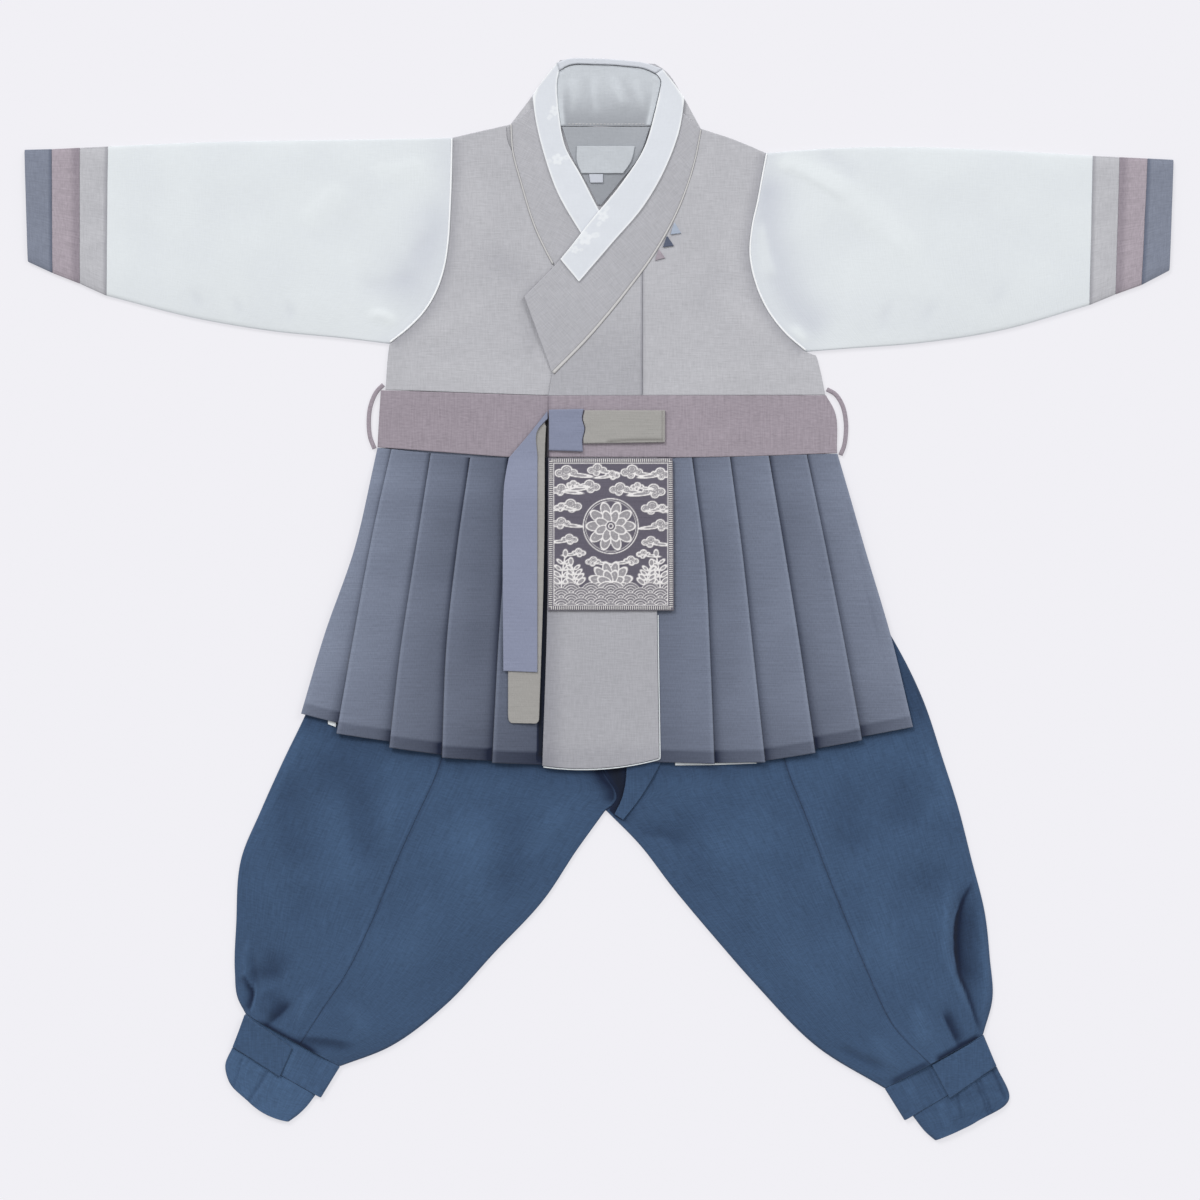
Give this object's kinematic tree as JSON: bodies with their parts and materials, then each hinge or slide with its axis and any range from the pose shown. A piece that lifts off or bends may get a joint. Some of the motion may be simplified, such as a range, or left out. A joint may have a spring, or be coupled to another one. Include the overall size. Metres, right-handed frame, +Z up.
{
  "type": "child's hanbok",
  "caption": "Small boy's Korean hanbok laid flat: wrapped robe with crossed collar, striped cuffs, ties and pleated skirt over wide trousers gathered at the ankles.",
  "frame": {"origin": "on the surface that the garment lies on, under the middle of its outline", "axes": "+X to the wearer's left, +Y towards the neck, +Z up from the surface"},
  "size_m": [0.861, 0.81, 0.0098],
  "materials": {
    "white": "smooth matt weave",
    "grey": "fine matt weave",
    "lining": "fine matt weave",
    "mauve": "fine matt weave",
    "slate": "fine matt weave",
    "skirt": "fine matt weave",
    "pale_blue": "fine matt weave",
    "lavender": "fine matt weave",
    "beige": "fine matt weave",
    "trouser": "slubby matt weave",
    "badge": "raised embroidery on cloth"
  },
  "bodies": {
    "root": {"ankle_band_left": "trouser", "ankle_band_right": "trouser", "ankle_end_left": "trouser", "ankle_end_right": "trouser", "ankle_tab_left": "trouser", "ankle_tab_right": "trouser", "back_lining": "lining", "badge": "badge", "belt_loop_left": "mauve", "belt_loop_right": "mauve", "bodice_back": "grey", "bodice_front_over": "grey", "bodice_front_under": "grey", "bow_beige": "beige", "bow_lavender": "lavender", "collar_back": "grey", "collar_over": "grey", "collar_strip_back": "white", "collar_strip_over": "white", "collar_strip_under": "white", "collar_under": "grey", "crotch_gusset": "trouser", "cuff_grey_left": "grey", "cuff_grey_right": "grey", "cuff_mauve_left": "mauve", "cuff_mauve_right": "mauve", "cuff_slate_left": "slate", "cuff_slate_right": "slate", "neck_label": "lining", "neck_lining": "lining", "overlap_panel": "grey", "piping_over": "grey", "piping_under": "grey", "size_tab": "white", "skirt_back": "skirt", "skirt_center_panel": "grey", "skirt_front_left": "skirt", "skirt_front_right": "skirt", "skirt_lining_left": "white", "skirt_lining_right": "white", "sleeve_left": "white", "sleeve_right": "white", "tie_long_beige": "beige", "tie_long_lavender": "lavender", "triangle_blue": "pale_blue", "triangle_mauve": "mauve", "triangle_slate": "slate", "trouser_inner_left": "trouser", "trouser_inner_right": "trouser", "trouser_outer_left": "trouser", "trouser_outer_right": "trouser", "trouser_waistband": "trouser", "waistband_back": "mauve", "waistband_over": "mauve", "waistband_under": "mauve"}
  },
  "joints": []
}
